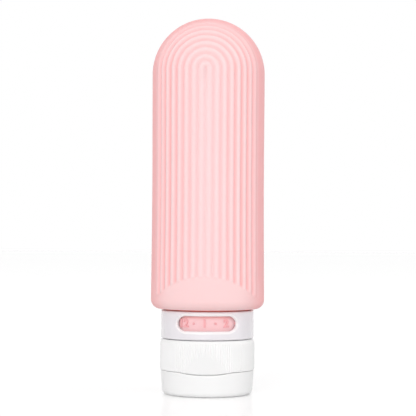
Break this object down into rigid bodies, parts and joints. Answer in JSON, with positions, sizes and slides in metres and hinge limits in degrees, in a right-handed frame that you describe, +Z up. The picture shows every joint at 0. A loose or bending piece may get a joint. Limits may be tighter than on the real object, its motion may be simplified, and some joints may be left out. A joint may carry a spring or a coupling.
{
  "type": "travel silicone bottle",
  "caption": "Soft domed squeeze bottle with arched ribs, turning label collar with window, knurled screw cap with drip-stop valve and flip lid that it stands on.",
  "frame": {"origin": "centre of the flip lid's flat face, on the surface that the bottle stands on", "axes": "+Z up through the cap to the dome, -Y to the front with the thumb scoop and the window, +Y to the film hinge"},
  "size_m": [0.0394, 0.04, 0.1303],
  "materials": {
    "pink_silicone": "matt moulded silicone",
    "frosted_plastic": "glossy, slightly translucent",
    "white_plastic": "satin moulded",
    "clear_silicone": "satin moulded silicone"
  },
  "bodies": {
    "bottle": {"silicone_bottle": "pink_silicone"},
    "collar": {"label_collar": "frosted_plastic"},
    "seal": {"seal_ring": "clear_silicone"},
    "cap": {"cap_base": "white_plastic", "no_drip_valve": "clear_silicone", "valve_retainer": "white_plastic", "hinge_web": "white_plastic"},
    "lid": {"flip_lid": "white_plastic"}
  },
  "joints": [
    {"name": "collar_turn", "type": "hinge", "parent": "bottle", "child": "collar", "pos_m": [0, 0, 0.0242], "axis": [0, 0, 1], "continuous": true},
    {"name": "cap_travel", "type": "slide", "parent": "collar", "child": "seal", "axis": [0, 0, -1], "range_m": [0, 0.00244]},
    {"name": "cap_turn", "type": "hinge", "parent": "seal", "child": "cap", "pos_m": [0, 0, 0.0138], "axis": [0, 0, -1], "range_deg": [0, 440]},
    {"name": "lid_open", "type": "hinge", "parent": "cap", "child": "lid", "pos_m": [0, 0.0152, 0.0084], "axis": [1, 0, 0], "range_deg": [0, 130], "deforming": ["hinge_web"]}
  ],
  "couplings": [
    {"joint": "cap_travel", "follows": "cap_turn", "m_per_rad": 0.00031831}
  ]
}
